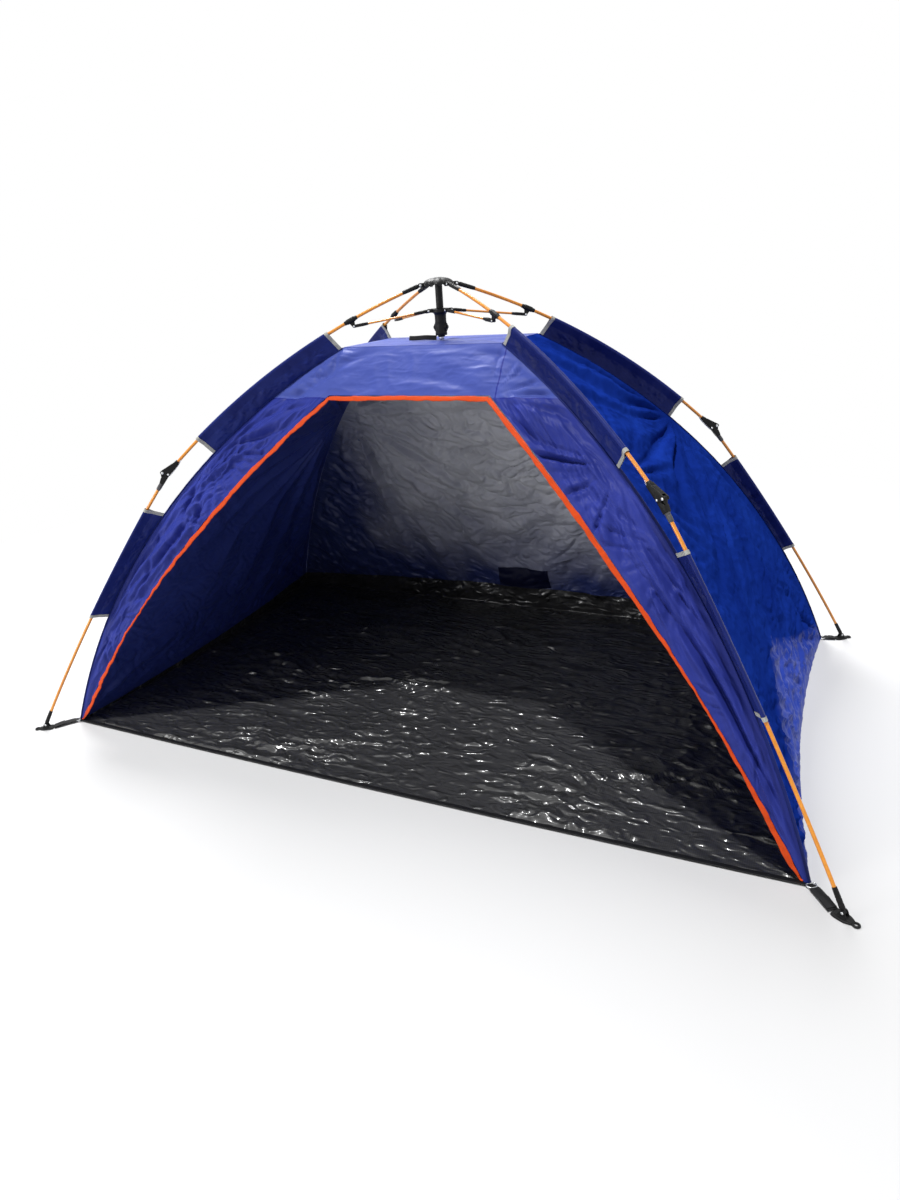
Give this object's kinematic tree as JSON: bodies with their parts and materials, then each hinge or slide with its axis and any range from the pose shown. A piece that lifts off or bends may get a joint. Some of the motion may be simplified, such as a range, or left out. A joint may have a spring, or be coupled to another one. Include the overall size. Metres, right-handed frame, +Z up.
{
  "type": "pop-up beach tent",
  "caption": "Open-fronted beach tent on a folding frame with a hub, sliding runner and hinged elbows",
  "frame": {"origin": "on the ground, midway between the four feet", "axes": "+X to the right when facing the doorway, along the tent's width; -Y out of the doorway; +Z up"},
  "size_m": [2.4376, 1.493, 1.3],
  "materials": {
    "black_plastic": "moulded black nylon, slightly glossy",
    "pole_orange": "glass-fibre tube, smooth orange resin",
    "bright_steel": "bright plated",
    "blue_polyester": "coated taffeta, slightly glossy",
    "navy_polyester": "matt taffeta",
    "black_sheeting": "woven polyethylene sheet, coated and slightly glossy",
    "orange_binding": "woven binding tape",
    "black_webbing": "woven webbing"
  },
  "bodies": {
    "root": {"hub": "black_plastic", "mast": "black_plastic", "mast_tip": "bright_steel", "roof": "blue_polyester", "front_wall": "blue_polyester", "door_trim": "orange_binding", "back_wall": "blue_polyester", "left_wall": "blue_polyester", "right_wall": "blue_polyester", "floor": "black_sheeting", "pocket": "navy_polyester", "roof_strap": "black_webbing", "corner_strap_fl": "black_webbing", "corner_strap_fr": "black_webbing", "corner_strap_br": "black_webbing", "corner_strap_bl": "black_webbing"},
    "runner": {"runner": "black_plastic"},
    "button_right": {"button_right": "black_plastic"},
    "button_left": {"button_left": "black_plastic"},
    "upper_fl": {"upper_pole_fl": "pole_orange", "clamp_fl": "black_plastic", "elbow_socket_fl": "black_plastic", "elbow_pin_fl": "bright_steel", "upper_sleeve_fl": "navy_polyester"},
    "lower_fl": {"lower_pole_fl": "pole_orange", "elbow_knuckle_fl": "black_plastic", "lower_sleeve_fl": "navy_polyester"},
    "foot_fl": {"foot_fl": "black_plastic"},
    "strut_fl": {"strut_fl": "pole_orange"},
    "upper_fr": {"upper_pole_fr": "pole_orange", "clamp_fr": "black_plastic", "elbow_socket_fr": "black_plastic", "elbow_pin_fr": "bright_steel", "upper_sleeve_fr": "navy_polyester"},
    "lower_fr": {"lower_pole_fr": "pole_orange", "elbow_knuckle_fr": "black_plastic", "lower_sleeve_fr": "navy_polyester"},
    "foot_fr": {"foot_fr": "black_plastic"},
    "strut_fr": {"strut_fr": "pole_orange"},
    "upper_br": {"upper_pole_br": "pole_orange", "clamp_br": "black_plastic", "elbow_socket_br": "black_plastic", "elbow_pin_br": "bright_steel", "upper_sleeve_br": "navy_polyester"},
    "lower_br": {"lower_pole_br": "pole_orange", "elbow_knuckle_br": "black_plastic", "lower_sleeve_br": "navy_polyester"},
    "foot_br": {"foot_br": "black_plastic"},
    "strut_br": {"strut_br": "pole_orange"},
    "upper_bl": {"upper_pole_bl": "pole_orange", "clamp_bl": "black_plastic", "elbow_socket_bl": "black_plastic", "elbow_pin_bl": "bright_steel", "upper_sleeve_bl": "navy_polyester"},
    "lower_bl": {"lower_pole_bl": "pole_orange", "elbow_knuckle_bl": "black_plastic", "lower_sleeve_bl": "navy_polyester"},
    "foot_bl": {"foot_bl": "black_plastic"},
    "strut_bl": {"strut_bl": "pole_orange"}
  },
  "joints": [
    {"name": "frame_fold", "type": "hinge", "parent": "root", "child": "upper_fl", "pos_m": [-0.04482, -0.02733, 1.281], "axis": [0.5206, -0.8538, 0], "range_deg": [0, 57], "deforming": ["roof", "front_wall", "door_trim", "back_wall", "left_wall", "right_wall", "floor", "pocket", "roof_strap", "corner_strap_fl", "corner_strap_fr", "corner_strap_br", "corner_strap_bl", "upper_sleeve_fl", "upper_sleeve_fr", "upper_sleeve_br", "upper_sleeve_bl", "lower_sleeve_fl", "lower_sleeve_fr", "lower_sleeve_br", "lower_sleeve_bl"]},
    {"name": "upper_hinge_fr", "type": "hinge", "parent": "root", "child": "upper_fr", "pos_m": [0.04482, -0.02733, 1.281], "axis": [0.5206, 0.8538, 0], "range_deg": [0, 57]},
    {"name": "upper_hinge_br", "type": "hinge", "parent": "root", "child": "upper_br", "pos_m": [0.04482, 0.02733, 1.281], "axis": [-0.5206, 0.8538, 0], "range_deg": [0, 57]},
    {"name": "upper_hinge_bl", "type": "hinge", "parent": "root", "child": "upper_bl", "pos_m": [-0.04482, 0.02733, 1.281], "axis": [-0.5206, -0.8538, 0], "range_deg": [0, 57]},
    {"name": "runner_slide", "type": "slide", "parent": "root", "child": "runner", "axis": [0, 0, 1], "range_m": [0, 0.0645]},
    {"name": "strut_hinge_fl", "type": "hinge", "parent": "runner", "child": "strut_fl", "pos_m": [-0.02903, -0.0177, 1.211], "axis": [0.5206, -0.8538, 0], "range_deg": [0, 71.91]},
    {"name": "strut_hinge_fr", "type": "hinge", "parent": "runner", "child": "strut_fr", "pos_m": [0.02903, -0.0177, 1.211], "axis": [0.5206, 0.8538, 0], "range_deg": [0, 71.91]},
    {"name": "strut_hinge_br", "type": "hinge", "parent": "runner", "child": "strut_br", "pos_m": [0.02903, 0.0177, 1.211], "axis": [-0.5206, 0.8538, 0], "range_deg": [0, 71.91]},
    {"name": "strut_hinge_bl", "type": "hinge", "parent": "runner", "child": "strut_bl", "pos_m": [-0.02903, 0.0177, 1.211], "axis": [-0.5206, -0.8538, 0], "range_deg": [0, 71.91]},
    {"name": "elbow_hinge_fl", "type": "hinge", "parent": "upper_fl", "child": "lower_fl", "pos_m": [-0.73393, -0.44748, 0.81077], "axis": [-0.5206, 0.8538, 0], "range_deg": [0, 194]},
    {"name": "elbow_hinge_fr", "type": "hinge", "parent": "upper_fr", "child": "lower_fr", "pos_m": [0.73393, -0.44748, 0.81077], "axis": [-0.5206, -0.8538, 0], "range_deg": [0, 194]},
    {"name": "elbow_hinge_br", "type": "hinge", "parent": "upper_br", "child": "lower_br", "pos_m": [0.73393, 0.44748, 0.81077], "axis": [0.5206, -0.8538, 0], "range_deg": [0, 194]},
    {"name": "elbow_hinge_bl", "type": "hinge", "parent": "upper_bl", "child": "lower_bl", "pos_m": [-0.73393, 0.44748, 0.81077], "axis": [0.5206, 0.8538, 0], "range_deg": [0, 194]},
    {"name": "foot_hinge_fl", "type": "hinge", "parent": "lower_fl", "child": "foot_fl", "pos_m": [-1.185, -0.7225, 0.016], "axis": [0.5206, -0.8538, 0], "range_deg": [-80, 45]},
    {"name": "foot_hinge_fr", "type": "hinge", "parent": "lower_fr", "child": "foot_fr", "pos_m": [1.185, -0.7225, 0.016], "axis": [0.5206, 0.8538, 0], "range_deg": [-80, 45]},
    {"name": "foot_hinge_br", "type": "hinge", "parent": "lower_br", "child": "foot_br", "pos_m": [1.185, 0.7225, 0.016], "axis": [-0.5206, 0.8538, 0], "range_deg": [-80, 45]},
    {"name": "foot_hinge_bl", "type": "hinge", "parent": "lower_bl", "child": "foot_bl", "pos_m": [-1.185, 0.7225, 0.016], "axis": [-0.5206, -0.8538, 0], "range_deg": [-80, 45]},
    {"name": "button_right_press", "type": "slide", "parent": "runner", "child": "button_right", "axis": [-1, 0, 0], "range_m": [0, 0.003], "stiffness_N_per_m": 600},
    {"name": "button_left_press", "type": "slide", "parent": "runner", "child": "button_left", "axis": [1, 0, 0], "range_m": [0, 0.003], "stiffness_N_per_m": 600}
  ],
  "couplings": [
    {"joint": "upper_hinge_fr", "follows": "frame_fold", "ratio": 1},
    {"joint": "upper_hinge_br", "follows": "frame_fold", "ratio": 1},
    {"joint": "upper_hinge_bl", "follows": "frame_fold", "ratio": 1},
    {"joint": "runner_slide", "follows": "frame_fold", "m_per_rad": 0.064834},
    {"joint": "strut_hinge_fl", "follows": "frame_fold", "ratio": 1.2616},
    {"joint": "strut_hinge_fr", "follows": "frame_fold", "ratio": 1.2616},
    {"joint": "strut_hinge_br", "follows": "frame_fold", "ratio": 1.2616},
    {"joint": "strut_hinge_bl", "follows": "frame_fold", "ratio": 1.2616},
    {"joint": "elbow_hinge_fl", "follows": "frame_fold", "ratio": 3.4035},
    {"joint": "elbow_hinge_fr", "follows": "frame_fold", "ratio": 3.4035},
    {"joint": "elbow_hinge_br", "follows": "frame_fold", "ratio": 3.4035},
    {"joint": "elbow_hinge_bl", "follows": "frame_fold", "ratio": 3.4035}
  ]
}
